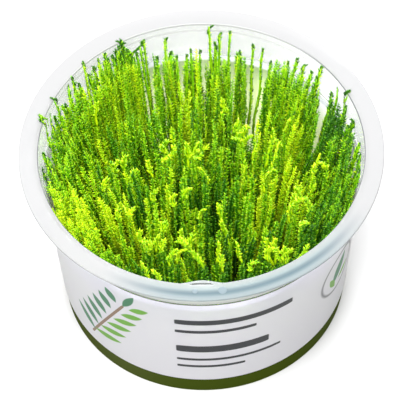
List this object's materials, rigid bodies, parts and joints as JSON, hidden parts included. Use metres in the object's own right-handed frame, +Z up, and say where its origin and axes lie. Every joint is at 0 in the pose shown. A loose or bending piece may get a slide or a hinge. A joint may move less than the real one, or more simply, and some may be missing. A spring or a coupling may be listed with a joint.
{
  "type": "moss clump in a clear culture cup",
  "caption": "Upright aquatic moss growing as a dense clump from nutrient gel in a clear, wide-rimmed plastic culture cup with a plain wrap-round label.",
  "frame": {"origin": "centre of the cup's flat foot, on the surface that it stands on", "axes": "+Z up out of the cup's mouth, -Y towards the label's front"},
  "size_m": [0.101, 0.101, 0.064],
  "materials": {
    "clear_plastic": "clear, glossy",
    "white_label": "satin white",
    "green_gel": "wet, cloudy",
    "green_moss": "soft leaves"
  },
  "bodies": {
    "root": {"cup": "clear_plastic", "label": "white_label", "gel": "green_gel", "moss": "green_moss"}
  },
  "joints": []
}
